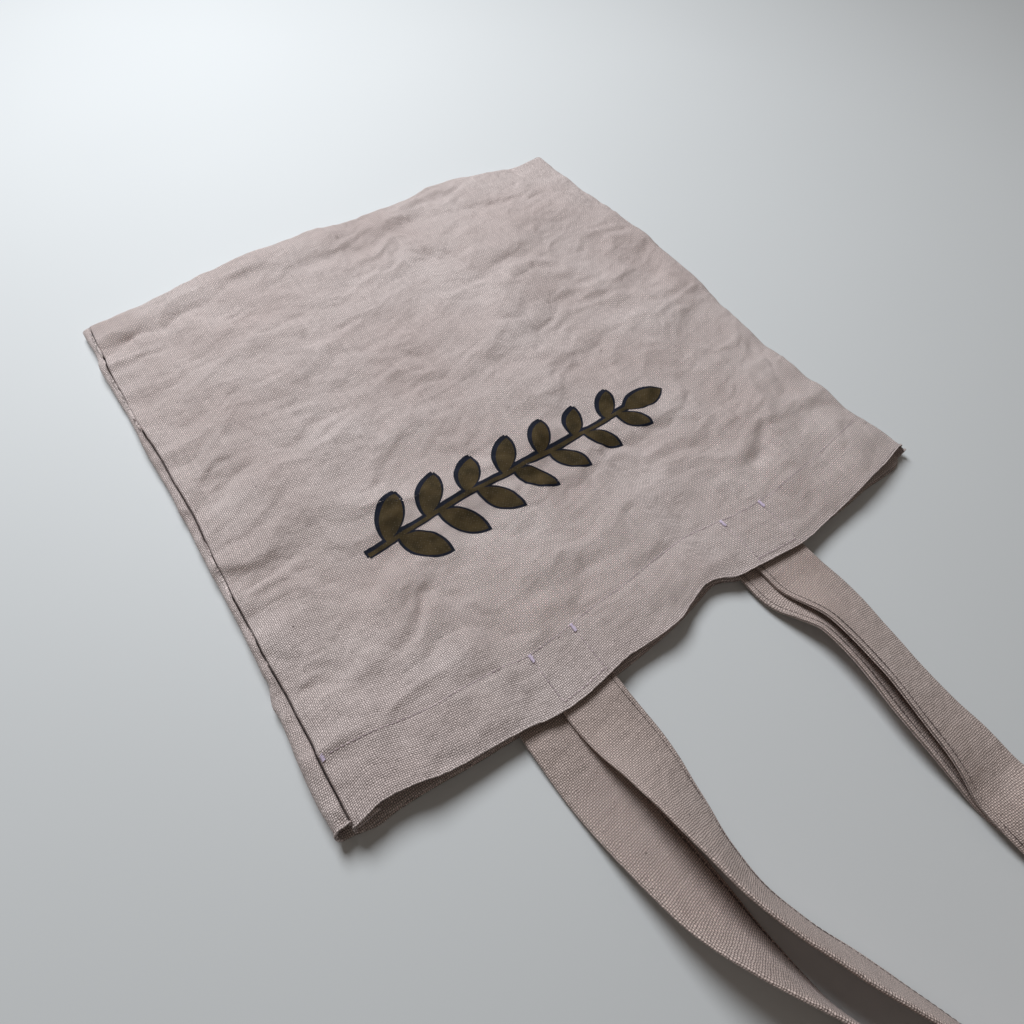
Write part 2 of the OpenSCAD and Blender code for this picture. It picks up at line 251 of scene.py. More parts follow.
def over_straps(x, y):
    """1 over the sewn-in ends of the front strap, 0 away from them."""
    nearest = np.min([abs(x - middle) for middle in FRONT_ENDS_X], axis=0)
    return (smooth_step(STRAP_W / 2 + ENDS_SIDE - nearest, 0, ENDS_SIDE - 1)
            * smooth_step(MOUTH_MIDDLE_Y - np.asarray(y), -ENDS_REACH - 6, -ENDS_REACH))


def front_z(x, y):
    """Height of the front panel's outer face at a place, before it rounds down to its edges."""
    x, y = np.asarray(x, float), np.asarray(y, float)
    near_mouth = smooth_step(-y, 100, 178)
    lifted = sum(lift * bell(x, middle, width) for middle, width, lift in MOUTH_LIFTS)
    height = TOP_Z + wrinkles(x, y) * (1 - 0.4 * near_mouth) + puckers(x, y) + near_mouth * lifted
    height = held_up(height)
    straps = over_straps(x, y)
    return height * (1 - straps) + np.maximum(OVER_STRAPS_Z + 0.25 * wrinkles(x, y), 9.5) * straps


BACK_Z = 0.8  # least height of the back panel's outer layer


def back_z(x, y):
    """Height of the back panel above the table."""
    ripple = 0.2 * (1 + noise(x, y, 40, 33))
    return BACK_Z + ripple * smooth_step(np.asarray(y, float), -150, -120)


# ---- meshes

def add_object(name, data):
    thing = bpy.data.objects.new(name, data)
    bpy.context.scene.collection.objects.link(thing)
    return thing


def make_mesh(name, points, faces, uv=None):
    """An object from points in millimetres, with UVs in metres of cloth."""
    mesh = bpy.data.meshes.new(name)
    mesh.from_pydata((np.asarray(points) * MM).tolist(), [], [list(map(int, f)) for f in faces])
    if uv is not None:
        layer = mesh.uv_layers.new(name="cloth")
        loops = np.empty(len(mesh.loops), np.int64)
        mesh.loops.foreach_get("vertex_index", loops)
        layer.data.foreach_set("uv", (np.asarray(uv, float)[loops] * MM).astype(np.float32).ravel())
    mesh.polygons.foreach_set("use_smooth", [True] * len(mesh.polygons))
    mesh.update()
    return add_object(name, mesh)


def grid_faces(rows, columns, offset=0, flip=False):
    """Two triangles for each cell of a grid of points."""
    i, j = np.meshgrid(np.arange(rows - 1), np.arange(columns - 1), indexing="ij")
    a = (i * columns + j).ravel() + offset
    b, c, d = a + 1, a + 1 + columns, a + columns
    triangles = np.concatenate([np.stack([a, b, c], axis=1), np.stack([a, c, d], axis=1)])
    return triangles[:, ::-1] if flip else triangles


def grid_normals(points):
    """Unit normals of a grid of points, shaped (rows, columns, 3)."""
    along = np.gradient(points, axis=0)
    across = np.gradient(points, axis=1)
    normal = np.cross(across, along)
    return normal / np.maximum(np.linalg.norm(normal, axis=2, keepdims=True), 1e-9)


def border_faces(rows, columns, offset):
    """Triangles that join the borders of two equal grids, the second one offset points later."""
    number = np.arange(rows * columns).reshape(rows, columns)
    top, right, bottom, left = number[0], number[:, -1], number[-1, ::-1], number[::-1, 0]
    ring = np.concatenate([top[:-1], right[:-1], bottom[:-1], left[:-1]])
    after = np.roll(ring, -1)
    return np.concatenate([
        np.stack([ring, ring + offset, after + offset], axis=1),
        np.stack([ring, after + offset, after], axis=1)])


def shell_arrays(outer, normals, uv, thickness):
    """Points, faces, uv and normals of a closed shell under a grid of outer-face points."""
    rows, columns = outer.shape[:2]
    count = rows * columns
    inner = outer - normals * thickness
    points = np.concatenate([outer.reshape(-1, 3), inner.reshape(-1, 3)])
    faces = np.concatenate([
        grid_faces(rows, columns),
        grid_faces(rows, columns, offset=count, flip=True),
        border_faces(rows, columns, count)])
    both_uv = np.concatenate([uv.reshape(-1, 2)] * 2)
    both_normals = np.concatenate([normals.reshape(-1, 3), -normals.reshape(-1, 3)])
    return points, faces, both_uv, both_normals


def distances(line):
    """How far each point of a line is from its first, along the line."""
    return np.concatenate([[0], np.cumsum(np.linalg.norm(np.diff(line, axis=0), axis=1))])


def points_at(wanted, along, line):
    """The points (or directions) of a line at the wanted distances."""
    return np.stack([np.interp(wanted, along, column) for column in line.T], axis=1)


def unit_rows(vectors):
    return vectors / np.linalg.norm(vectors, axis=1, keepdims=True)


def arc_length(points, axis):
    """Distance along a grid of points, row by row or column by column."""
    steps = np.linalg.norm(np.diff(points, axis=axis), axis=2)
    total = np.cumsum(steps, axis=axis)
    return np.concatenate([np.zeros_like(np.take(total, [0], axis)), total], axis=axis)


# ---- materials

WEAVE_PITCH = 0.00090  # metres from one yarn to the next
YARN_WANDER = 1.6  # how far a yarn strays from its place, in pitches


class Graph:
    """A new material, with short ways to add the nodes that are used here."""

    def __init__(self, name):
        self.material = bpy.data.materials.new(name)
        self.material.use_nodes = True
        self.tree = self.material.node_tree
        self.shader = self.tree.nodes["Principled BSDF"]

    def put(self, node, inputs):
        """Give a node's inputs numbers, vectors, colours or the outputs of other nodes."""
        for key, value in inputs.items():
            socket = node.inputs[key]
            if isinstance(value, bpy.types.NodeSocket):
                self.tree.links.new(value, socket)
            elif socket.type == "RGBA":
                socket.default_value = (*value, 1)
            else:
                socket.default_value = value

    def node(self, kind, inputs, **settings):
        """The outputs of a new node."""
        node = self.tree.nodes.new(f"ShaderNode{kind}")
        for name, value in settings.items():
            setattr(node, name, value)
        self.put(node, inputs)
        return node.outputs

    def shade(self, inputs):
        """Set the shader's inputs and return the finished material."""
        self.put(self.shader, inputs)
        return self.material

    def cloth_uv(self):
        return self.node("UVMap", {}, uv_map="cloth")[0]

    def math(self, operation, *values):
        return self.node("Math", dict(enumerate(values)), operation=operation)[0]

    def noise(self, vector, scale, detail, stretch=(1, 1, 1)):
        mapped = self.node("Mapping", {"Scale": stretch, "Vector": vector})[0]
        return self.node("TexNoise", {"Scale": scale, "Detail": detail, "Vector": mapped})["Fac"]

    def ramp(self, value, *stops):
        """A colour ramp through (position, colour) stops; a single number is a grey."""
        node = self.tree.nodes.new("ShaderNodeValToRGB")
        elements = node.color_ramp.elements
        while len(elements) < len(stops):
            elements.new(0.5)
        for element, (position, color) in zip(elements, stops):
            element.position = position
            element.color = (*color, 1) if isinstance(color, tuple) else (color, color, color, 1)
        self.put(node, {0: value})
        return node.outputs[0]

    def mix(self, factor, a, b, blend="MIX"):
        inputs = {"Factor": factor, "A": a, "B": b}
        return self.node("Mix", inputs, data_type="RGBA", blend_type=blend)["Result"]

    def multiply(self, a, b):
        return self.mix(1.0, a, b, "MULTIPLY")

    def bump(self, height, distance, strength=1.0, over=None):
        """A normal that follows a height, on top of another bump if there is one."""
        inputs = {"Height": height, "Distance": distance, "Strength": strength}
        if over is not None:
            inputs["Normal"] = over
        return self.node("Bump", inputs)[0]


def weave(graph, uv):
    """Plain weave: returns (height, warp-over mask, yarn tops), each from 0 to 1."""
    wobble = graph.node("TexNoise", {"Scale": 330, "Detail": 3, "Vector": uv})["Color"]
    wander = {0: wobble, 1: (WEAVE_PITCH * YARN_WANDER,) * 3, 2: uv}
    place = graph.node("VectorMath", wander, operation="MULTIPLY_ADD")[0]
    axes = graph.node("SeparateXYZ", {0: place})
    turns = math.pi / WEAVE_PITCH
    waves = [graph.math("SINE", graph.math("MULTIPLY", axes[axis], turns)) for axis in (0, 1)]
    over = graph.math("MULTIPLY_ADD", graph.math("MULTIPLY", *waves), 0.5, 0.5)
    rounded = graph.math("MULTIPLY", *[graph.math("ABSOLUTE", wave) for wave in waves])
    tops = graph.math("POWER", rounded, 0.5)
    height = graph.math("MULTIPLY_ADD", over, 0.35, graph.math("MULTIPLY", tops, 0.65))
    return height, over, tops


def canvas_material(name, light, dark):
    """Washed canvas: plain weave, uneven yarns, faint pink and grey patches, a few dark specks, painted
    shade in the gaps between the yarns and painted highlight on their tops.
    """
    graph = Graph(name)
    uv = graph.cloth_uv()
    height, over, tops = weave(graph, uv)
    patches = graph.ramp(graph.noise(uv, 16, 4), (0.35, 0), (0.68, 1))
    warp = graph.ramp(graph.noise(uv, 60, 2, stretch=(16, 0.5, 1)), (0.3, 0.88), (0.7, 1.12))
    weft = graph.ramp(graph.noise(uv, 60, 2, stretch=(0.5, 16, 1)), (0.3, 0.78), (0.7, 1.08))
    color = graph.multiply(graph.mix(patches, dark, light), graph.mix(over, weft, warp))
    color = graph.multiply(color, graph.ramp(over, (0.25, 0.86), (0.75, 1.11)))
    # Painted shade in the gaps between the yarns and painted highlight on the yarn tops.
    gap_shade_top_highlight = graph.ramp(tops, (0.18, (0.16, 0.135, 0.13)), (0.52, 0.86), (0.88, 1.26))
    specks = graph.ramp(graph.noise(uv, 420, 1, stretch=(1, 2.2, 1)), (0.765, 0), (0.785, 1))
    crumple = graph.bump(graph.noise(uv, 170, 4), 0.0016, 0.75)
    yarns = graph.math("MULTIPLY_ADD", graph.noise(uv, 1500, 2), 0.25, height)
    return graph.shade({
        "Base Color": graph.mix(specks, graph.multiply(color, gap_shade_top_highlight), (0.09, 0.065, 0.06)),
        "Normal": graph.bump(yarns, 0.00045, 0.8, over=crumple),
        "Roughness": graph.ramp(height, (0, 0.96), (1, 0.86)),
        "Sheen Weight": 0.12,
        "Sheen Roughness": 0.6,
        "Specular IOR Level": 0.18})


def thread_material(name, light, dark, shade_at_ends):
    """Twisted sewing thread, with painted shade at its ends, where it goes into the cloth."""
    graph = Graph(name)
    position = graph.node("NewGeometry", {})["Position"]
    twist = graph.node("TexWave", {"Scale": 900, "Distortion": 1.5, "Vector": position},
                       bands_direction="DIAGONAL")["Fac"]
    uneven = graph.noise(position, 300, 2)
    color = graph.multiply(graph.mix(uneven, dark, light), graph.ramp(twist, (0, 0.75), (1, 1.05)))
    along = graph.node("SeparateXYZ", {0: graph.cloth_uv()})[0]
    # Painted shade where each stitch goes into the cloth: the colour darkens towards both ends.
    ends = graph.ramp(along, (0.06, shade_at_ends), (0.24, 1), (0.76, 1), (0.94, shade_at_ends))
    return graph.shade({
        "Base Color": graph.multiply(color, ends),
        "Normal": graph.bump(twist, 0.00002),
        "Roughness": graph.ramp(uneven, (0, 0.62), (1, 0.8))})


def ink_material(name, thick, thin, cloth_shows):
    """Ink that has soaked into the weave, thinner on the tops of the yarns."""
    graph = Graph(name)
    uv = graph.cloth_uv()
    height = weave(graph, uv)[0]
    patches = graph.noise(uv, 130, 4)
    base = graph.mix(graph.ramp(patches, (0.35, 0), (0.7, 1)), thick, thin)
    wear = graph.math("MULTIPLY", height, graph.noise(uv, 900, 2))
    worn = graph.ramp(wear, (0.40, 0), (0.62, cloth_shows))
    return graph.shade({
        "Base Color": graph.mix(worn, base, (0.30, 0.24, 0.20)),
        "Normal": graph.bump(height, 0.0003, 0.8),
        "Roughness": graph.ramp(patches, (0, 0.6), (1, 0.8)),
        "Specular IOR Level": 0.12})


# Looks: the material slot's name and the material
CANVAS = "canvas", canvas_material("washed_canvas", (0.78, 0.67, 0.64), (0.675, 0.56, 0.53))
STRAP = "strap_canvas", canvas_material("strap_canvas", (0.66, 0.54, 0.495), (0.58, 0.46, 0.415))
TONAL = "thread_tonal", thread_material("tonal_thread", (0.80, 0.66, 0.70), (0.60, 0.46, 0.50), 0.12)
# The strap's thread is dark in itself and darkened further as painted shade of the pressed groove it lies
# in.
TOPSTITCH_WITH_GROOVE_SHADE = "thread_tonal", thread_material("strap_thread_groove_shade", (0.20, 0.15, 0.14), (0.11, 0.08, 0.075), 0.15)
FRAY = "canvas", thread_material("frayed_yarn", (0.62, 0.52, 0.47), (0.40, 0.32, 0.29), 0.7)
LILAC = "thread_lilac", thread_material("lilac_thread", (0.98, 0.86, 1.0), (0.86, 0.72, 0.94), 0.8)
NAVY = "print_navy", ink_material("navy_ink", (0.006, 0.008, 0.016), (0.014, 0.018, 0.034), 0.1)
OLIVE = "print_olive", ink_material("olive_ink", (0.040, 0.028, 0.011), (0.085, 0.058, 0.025), 0.3)


def finish_piece(piece, look, nodes, body=None):
    """Put the material of a piece's look on it, hide the CAD nodes that it stands for, and parent it to
    the body it rides on, if one is given.
    """
    slot, material = look
    piece.data.materials.append(material)
    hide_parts(*nodes)
    if body:
        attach(piece, body)
    return piece


def back_cloth(name, outer, uv, thickness=CLOTH_T):
    """A shell of cloth that stays with the back, its outer face the given grid."""
    points, faces, both_uv, _ = shell_arrays(outer, grid_normals(outer), uv, thickness)
    return finish_piece(make_mesh(f"{name}_cloth", points, faces, both_uv), CANVAS, [name], "root")


def blend_halves(pieces):
    """Bake the transform of each half into its mesh."""
    for piece, side in zip(pieces, (-1, 1)):
        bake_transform(piece)


def cloth_halves(name, outer, uv, split, thickness=CLOTH_T):
    """A shell of the front's cloth, cut at one column into two pieces that shade as one."""
    normals = grid_normals(outer)
    pieces = []
    for side, part in (("left", slice(None, split + 1)), ("right", slice(split, None))):
        points, faces, both_uv, both_normals = shell_arrays(
            outer[:, part], normals[:, part], uv[:, part], thickness)
        piece = make_mesh(f"{name}_{side}_cloth", points, faces, both_uv)
        piece.data.normals_split_custom_set_from_vertices(both_normals.tolist())
        pieces.append(finish_piece(piece, CANVAS, [name]))
    blend_halves(pieces)
    return pieces


# ---- front and back panels

EDGE_ROUND = 4.0  # radius of the turn at the bag's right side and bottom
TURN = np.linspace(0, math.radians(112), 7)[1:]
NOSE_R = 1.05  # radius of the hem's folded edge
NOSE = np.linspace(0, math.pi, 9)[:0:-1]
MIDDLE_Z = 4.4  # height where front and back meet, at the right side and the bottom
MIDDLE_OF_BACK_Z = MIDDLE_Z - 0.3
SEAM_COLUMNS = (0.3, 0.65, 1.2)  # extra columns beside the left seam, in millimetres from it
SEAM_GAP = 0.25  # between the front panel and the back's rolled lip
SEAM_DEPTH = 4.2  # how far both dip into the seam
GROOVE_W = 0.42  # how wide the front's dip is
ROLL_BULGE = 3.6  # how far the left roll stands out from its middle
ROLL_OPENS = 2.4  # how far the left roll's top stands back at the mouth
ROLL_STEPS = 15  # columns round the roll
BACK_ROWS, BACK_COLUMNS = 1.4, 1.8  # the back's grid is this much coarser
# Columns of the rolled lip: share of the way from the roll's middle to the seam, and dip
LIP_COLUMNS = ((1, SEAM_DEPTH), (0.95, 0.6), (0.87, 0.1), (0.76, 0), (0.55, 0), (0.3, 0))


def shares(length, spacing):
    return np.linspace(0, 1, int(round(length / spacing)) + 1)


def lengthwise(spacing):
    """Rows of a panel: the folded mouth edge, the flat part, the turn at the bottom."""
    flat = shares(BOTTOM_MIDDLE_Y - MOUTH_MIDDLE_Y, spacing)
    share = np.concatenate([0 * NOSE, flat, 0 * TURN + 1])
    nose = np.concatenate([NOSE, 0 * flat, 0 * TURN])
    turn = np.concatenate([0 * NOSE, 0 * flat, TURN])
    return share, nose, turn


def place_rows(share, mouth, left, across):
    """y of each row in a column that lies a share of the way from the left line to the right side."""
    x_mouth, x_bottom = (left(y) + across * (right_edge(y) - EDGE_ROUND - left(y))
                         for y in (MOUTH_CORNER_Y, BOTTOM_CORNER_Y))
    start = mouth(x_mouth) + NOSE_R
    end = bottom_edge(x_bottom) - EDGE_ROUND
    return start + share * (end - start)


def wrap_mouth(points, nose):
    """Fold the rows of the mouth edge round the hem, and return the points."""
    normals = grid_normals(points)
    points[:, :, 1] -= NOSE_R * np.sin(nose)[:, None]
    points -= normals * (NOSE_R * (1 - np.cos(nose)))[:, None, None]
    return points


def unrolled(points):
    """Place on the flat cloth of each point of a grid."""
    return np.stack([arc_length(points, 1), arc_length(points, 0)], axis=2)


def front_grid():
    """Outer face of the front panel, columns from the left seam to the right side's turn."""
    share, nose, turn_y = lengthwise(SPACING)
    flat = np.insert(shares(2 * HALF_W, SPACING), 1, np.array(SEAM_COLUMNS) / (2 * HALF_W))
    columns = [(value, 0.0) for value in flat] + [(1.0, value) for value in TURN]
    points = np.empty((len(share), len(columns), 3))
    for j, (across, turn_x) in enumerate(columns):
        y = place_rows(share, front_mouth, left_seam_x, across)
        x_left = left_seam_x(y)
        x = x_left + across * (right_edge(y) - EDGE_ROUND - x_left)
        seam_dip = SEAM_DEPTH * bell(x, x_left, GROOVE_W)
        rise = front_z(x, y) - seam_dip - MIDDLE_Z
        points[:, j, 0] = x + EDGE_ROUND * math.sin(turn_x)
        points[:, j, 1] = y + EDGE_ROUND * np.sin(turn_y)
        points[:, j, 2] = MIDDLE_Z + rise * math.cos(turn_x) * np.cos(turn_y)
    return wrap_mouth(points, nose), len(flat) // 2


def lip_columns(y, roll_x, opens):
    """The strip of the back panel that lies on top, from the left seam to the roll."""
    columns = []
    for part, dip in LIP_COLUMNS:
        x = roll_x + part * (left_seam_x(y) - SEAM_GAP - roll_x)
        swell = 1.5 * math.sin(math.pi * part) * noise(y, 4 * part + 0 * y, 9, 35)
        columns.append([x, y + opens, lip_z(y) + swell - dip])
    return columns


def roll_columns(y, roll_x, bulge, opens):
    """The left roll, from its top round to the table."""
    lump = 1.3 * bell(y, -106, 5) - 1.0 * bell(y, -96, 3)
    columns = []
    for angle in np.linspace(math.pi, 0, ROLL_STEPS):
        radius = (lip_z(y) - BACK_Z) / 2
        height = BACK_Z + radius * (1 - math.cos(angle))
        stands = opens * (1 - math.cos(angle)) / 2
        reach = (bulge + lump) * math.sin(angle) ** 0.8
        columns.append([roll_x - reach, y + stands, height])
    return columns


def back_grid():
    """Outer face of the back panel, columns from the right side's turn to the lip on the front."""
    share, nose, turn_y = lengthwise(SPACING * BACK_ROWS)
    flat = shares(2 * HALF_W, SPACING * BACK_COLUMNS)[1:]
    y = place_rows(share, back_mouth, left_edge, 0)
    bulge = ROLL_BULGE + 1.0 * noise(y, 0 * y, 17, 32)
    roll_x = left_edge(y) + bulge
    opens = ROLL_OPENS * np.exp(-(y - y[0]) / 6)
    columns = lip_columns(y, roll_x, opens) + roll_columns(y, roll_x, bulge, opens)
    for across, turn_x in [(value, 0.0) for value in flat] + [(1.0, value) for value in TURN]:
        y = place_rows(share, back_mouth, left_edge, across)
        x_left = left_edge(y) + ROLL_BULGE
        x = x_left + across * (right_edge(y) - EDGE_ROUND - x_left)
        sink = (MIDDLE_OF_BACK_Z - back_z(x, y)) * math.cos(turn_x)
        columns.append([x + EDGE_ROUND * math.sin(turn_x), y, MIDDLE_OF_BACK_Z - sink])
    points = np.array(columns).transpose(2, 0, 1)[:, ::-1].copy()
    points[:, :, 1] += EDGE_ROUND * np.sin(turn_y)[:, None]
    points[:, :, 2] = MIDDLE_OF_BACK_Z + (points[:, :, 2] - MIDDLE_OF_BACK_Z) * np.cos(turn_y)[:, None]
    return wrap_mouth(points, nose)


def lip_z(y):
    """Height of the back panel's rolled lip, just lower than the front panel beside it."""
    return front_z(left_seam_x(y), y) - 0.2 - 0.4 * noise(y, 0 * y, 14, 31)


front_points, front_middle = front_grid()
front_panel = cloth_halves("front_panel", front_points, unrolled(front_points), front_middle)
back_points = back_grid()
back_panel = back_cloth("back_panel", back_points, unrolled(back_points))

front_faces = grid_faces(*front_points.shape[:2])
front_surface = BVHTree.FromPolygons(front_points.reshape(-1, 3).tolist(), front_faces.tolist())


def on_front(x, y, lift):
    """Points on the front panel's mesh, lifted a little."""
    above, down = 50, (0, 0, -1)
    hits = [front_surface.ray_cast((px, py, above), down)[0] for px, py in zip(x, y)]
    return np.array([(hit.x, hit.y, hit.z + lift) for hit in hits])


# ---- hems and seam allowances

FRONT_HEM_X = (-158, 169)
BACK_HEM_X = (-169, 169)
HEM_GAP = 0.05
HEM_T = 2 * NOSE_R - CLOTH_T - HEM_GAP
ALLOWANCE_T = 1.3  # two layers of cloth, pressed


def hem_grid(x_range, mouth, top):
    """Grid of a hem band: upper face at the height that top(x, y) gives."""
    x = np.linspace(*x_range, int((x_range[1] - x_range[0]) / SPACING) + 1)
    depth = np.linspace(NOSE_R, HEM_DEPTH, int(HEM_DEPTH / SPACING) + 1)
    xx, dd = np.meshgrid(x, depth)
    yy = mouth(xx) + dd
    return np.stack([xx, yy, top(xx, yy)], axis=2)


def allowance(name, path, top, seed):
    """A strip of turned-in seam along a path of (x, y) points, its far edge a little uneven."""
    travel = unit_rows(np.gradient(path, axis=0))
    side = np.stack([travel[:, 1], -travel[:, 0]], axis=1)
    along = np.arange(len(path)) * SPACING
    across = np.linspace(0, 1, 9)
    reach = SEAM_W * across[None, :] * (1 + 0.05 * noise(along, 0 * along, 9, seed)[:, None] * across)
    xy = path[:, None, :] + side[:, None, :] * reach[:, :, None]
    droop = 0.35 * across * (1 + noise(along, 0 * along, 15, seed + 1))[:, None]
    z = top(xy[:, :, 0], xy[:, :, 1]) - droop
    points = np.concatenate([xy, z[:, :, None]], axis=2)
    uv = np.stack(np.broadcast_arrays(reach, along[:, None]), axis=2)
    return back_cloth(name, points, uv, ALLOWANCE_T)


def side_path(edge, inset, low):
    y = np.arange(low, SIDE_END_Y, SPACING)
    return np.stack([edge(y) + inset, y], axis=1)


def below_front(x, y):
    """Just under the front panel, for what is turned in behind it."""
    return front_z(x, y) - CLOTH_T - 0.5


def middle_height(x, y):
    return MIDDLE_Z + 0.4 + 0.3 * noise(x, y, 25, 41)


points = hem_grid(FRONT_HEM_X, front_mouth, lambda x, y: front_z(x, y) - CLOTH_T - HEM_GAP)
front_hem = cloth_halves("front_hem", points, points[:, :, :2], points.shape[1] // 2, HEM_T)
points = hem_grid(BACK_HEM_X, back_mouth, lambda x, y: back_z(x, y) + 2 * NOSE_R)
back_hem = back_cloth("back_hem", points, points[:, :, :2], HEM_T)

SEAM_W = 11.5
LEFT_INSET, RIGHT_INSET = 0.9, -2.5  # from the left seam and from the right and bottom edges
SIDE_END_Y = BOTTOM_CORNER_Y - 20
left_path = side_path(left_seam_x, LEFT_INSET, MOUTH_CORNER_Y - 0.5)
right_path = side_path(right_edge, RIGHT_INSET, MOUTH_CORNER_Y + 1)[::-1]
bottom_x = np.arange(-168, 168, SPACING)
bottom_path = np.stack([bottom_x, bottom_edge(bottom_x) + RIGHT_INSET], axis=1)
left_seam = allowance("left_side_seam", left_path, below_front, 42)
right_seam = allowance("right_side_seam", right_path, middle_height, 44)
bottom_seam = allowance("bottom_seam", bottom_path, middle_height, 46)


# ---- straps

FRONT_LIFT = box_mm("front_handle_left_end")[0][2] - REST_GAP
BACK_LIFT = box_mm("back_handle_left_end")[0][2] - REST_GAP + 0.25

SMOOTH_OVER = 8  # length over which a strap's course is averaged
STRAP_STEP, ROW_STEP = 1.5, 0.5  # between the points along a strap and along its stitches' path
HELD, FREE = 40, 75  # distance from a strap's end up to which it is flat, and is free


def sewn_in(x, lift):
    """Stations of a strap's end inside the bag, out to the fold line."""
    return [[x, out, 0, lift] for out in (-38, -24, -10, 0)]


# Stations of each handle, as in the CAD model: x, distance out from the fold line,
# roll in degrees, lift. The sewn-in ends are added to them.
FRONT_LOOP = [
    [-58, 14, 9, 2.6], [-57, 28, 23, 1.0], [-57, 46, 38, 0.2], [-57.6, 66, 53, 0],
    [-56.8, 87, 61, 0], [-51.5, 107, 66, 0], [-41.5, 132, 67, 0], [-30, 160, 72, 0], [-17, 192, 82, 0],
    [-3, 218, 88, 0], [14, 233, 90, 0], [35, 226, 88, 0], [48, 201, 84, 0],
    [53, 170, 72, 0.5], [57, 141, 30, 3.6], [60, 112, -9, 4.8], [62, 82, -23, 4], [64.5, 56, -28, 3.4],
    [67, 30, -22, 3.5], [66, 16, -12, 4.2], [64.5, 5, -1, 4.6]]
BACK_LOOP = [
    [-79.5, 26, 2, 0], [-77, 56, 14, 0], [-74, 82, 30, 0], [-69, 106, 55, 0],
    [-60, 135, 80, 0], [-48.5, 169, 88, 0], [-36.5, 203, 86, 0], [-15.5, 234, 88, 0], [14, 247, 90, 0],
    [42, 234, 86, 0], [55.5, 203, 78, 0], [60, 172, 54, 0], [62, 141, 14, 0], [59, 112, -7, 0],
    [58.5, 82, -19, 0], [61.5, 56, -22, 0], [62.5, 30, -20, 0], [59, 16, -11, 0.8], [55.3, 5, -1, 1.6]]
FRONT_ROUTE, BACK_ROUTE = (
    sewn_in(ends[0], lift) + loop + sewn_in(ends[1], lift)[::-1]
    for ends, lift, loop in ((FRONT_ENDS_X, FRONT_LIFT, FRONT_LOOP), (BACK_ENDS_X, BACK_LIFT, BACK_LOOP)))


def catmull_rom(stations, steps=24):
    p = np.array(stations, float)
    p = np.concatenate([[2 * p[0] - p[1]], p, [2 * p[-1] - p[-2]]])
    u = np.linspace(0, 1, steps, endpoint=False)[:, None]
    spans = []
    for a, b, c, d in zip(p, p[1:], p[2:], p[3:]):
        spans.append(0.5 * (2 * b + (c - a) * u + (2 * a - 5 * b + 4 * c - d) * u ** 2
                            + (3 * b - a - 3 * c + d) * u ** 3))
    return np.concatenate(spans + [p[-2:-1]])


def smoothed(values, reach):
    """Values along a line, averaged with their neighbours; the ends stay where they are."""
    kernel = np.hanning(2 * reach + 3)[1:-1]
    padded = np.pad(values, ((reach, reach), (0, 0)), mode="reflect", reflect_type="odd")
    columns = [np.convolve(column, kernel / kernel.sum(), "valid") for column in padded.T]
    return np.stack(columns, axis=1)


def strap_frames(stations, step):
    """Evenly spaced (centre, across, proud, distance) along a strap."""
    fine = catmull_rom(stations)
    roll = np.radians(fine[:, 2])
    rest = REST_GAP + abs(np.sin(roll)) * STRAP_W / 2 + np.cos(roll) * STRAP_T / 2
    centre = np.stack([fine[:, 0], FOLD_Y - fine[:, 1], rest + fine[:, 3]], axis=1)
    along = distances(centre)
    at = np.linspace(0, along[-1], int(along[-1] / step) + 1)
    centre = points_at(at, along, centre)
    roll = np.interp(at, along, roll)
    centre = smoothed(centre, int(SMOOTH_OVER / step))
    travel = unit_rows(np.gradient(centre, axis=0) * (1, 1, 0))
    out = np.stack([travel[:, 1], -travel[:, 0], 0 * roll], axis=1)
    up = np.array([0, 0, 1.0])
    across = np.cos(roll)[:, None] * out + np.sin(roll)[:, None] * up
    proud = -np.sin(roll)[:, None] * out + np.cos(roll)[:, None] * up
    return centre, across, proud, at


STITCH_ACROSS = -STRAP_W / 2 + 2.4  # the topstitching's place across the strap
GROOVE = 0.3


def strap_outline():
    """Cross-section of a strap: a fold on its outer edge, two turned-in edges on its inner edge."""
    t, w = STRAP_T / 2, STRAP_W / 2
    groove = [(STITCH_ACROSS + dx, t - part * GROOVE)
              for dx, part in ((-1.5, 0), (-0.7, 0.5), (0, 1), (0.7, 0.5), (1.5, 0))]
    upper = [(-w + 0.3, t - 0.2)] + groove + [(x, t) for x in (-7, -3, 1, 5, 9, w - 2.2)]
    fold_edge = [(w - 1.6 + 1.6 * math.cos(a), t * math.sin(a)) for a in np.linspace(1.2, -1.2, 7)]
    lower = [(x, -z) for x, z in upper[::-1]]
    turned_in = [(-w + 0.8, 0.0), (-w + 0.05, 0.22), (-w, 0.6)]
    return np.array(turned_in + upper + fold_edge + lower + [(x, -z) for x, z in turned_in[:0:-1]])


def strap_mesh(name, stations, seed):
    centre, across, proud, at = strap_frames(stations, STRAP_STEP)
    outline = strap_outline()
    q0, q1 = outline.T
    s = at[:, None]
    free = smooth_step(np.minimum(at, at[-1] - at), HELD, FREE)[:, None]
    slack = 0.30 * noise(s, 0.8 * q0, 12, seed) + 0.25 * noise(s, 1.5 * q0, 26, seed + 1)
    edge_wander = 0.35 * noise(s, 0 * s, 31, seed + 3) + 0.01 * q0 * noise(s, 0 * s, 17, seed + 2)
    points = (centre[:, None, :] + across[:, None, :] * (q0 + free * edge_wander)[:, :, None]
              + proud[:, None, :] * (q1 + free * slack)[:, :, None])
    points[:, :, 2] = np.maximum(points[:, :, 2], 0.05)
    rings, n = points.shape[:2]
    number = np.arange(rings * n).reshape(rings, n)
    a, b = number[:-1].ravel(), np.roll(number, -1, axis=1)[:-1].ravel()
    faces = np.stack([a, a + n, b + n, b], axis=1).tolist() + [list(number[0]), list(number[-1, ::-1])]
    uv = np.stack(np.broadcast_arrays(distances(outline), s), axis=2)
    return make_mesh(f"{name}_cloth", points.reshape(-1, 3), faces, uv.reshape(-1, 2)), at[-1]


